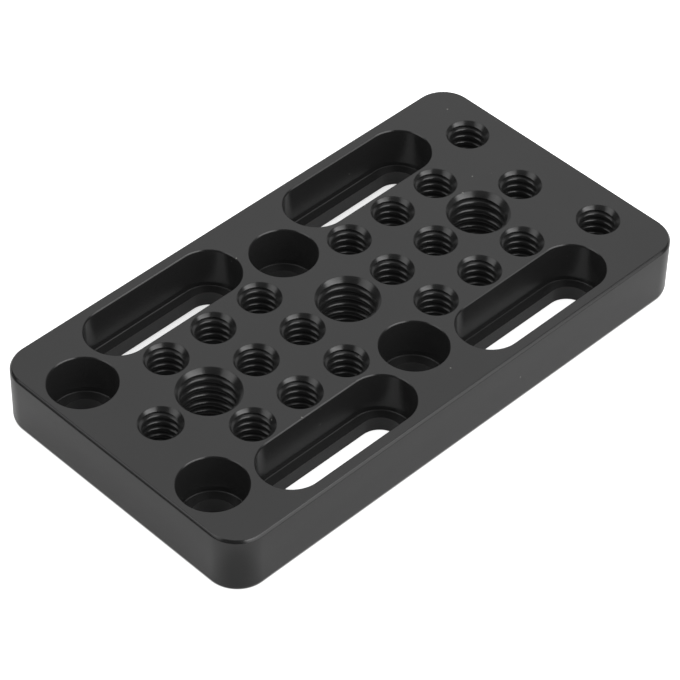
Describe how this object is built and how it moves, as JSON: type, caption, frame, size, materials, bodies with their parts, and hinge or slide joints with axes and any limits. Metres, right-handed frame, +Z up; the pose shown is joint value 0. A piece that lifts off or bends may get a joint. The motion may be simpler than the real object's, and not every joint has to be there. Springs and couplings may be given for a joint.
{
  "type": "camera mounting plate",
  "caption": "Flat rectangular mounting plate with a grid of threaded holes, counterbored holes and stepped slots for fixing camera accessories.",
  "frame": {"origin": "centre of the plate in plan, on its underside", "axes": "+X along the plate towards the end with two threaded side holes, +Y across it, +Z up through the face with the counterbores"},
  "size_m": [0.09, 0.0492, 0.0095],
  "materials": {
    "anodised": "black anodised over fine bead blasting, matt"
  },
  "bodies": {
    "root": {"plate": "anodised"}
  },
  "joints": []
}
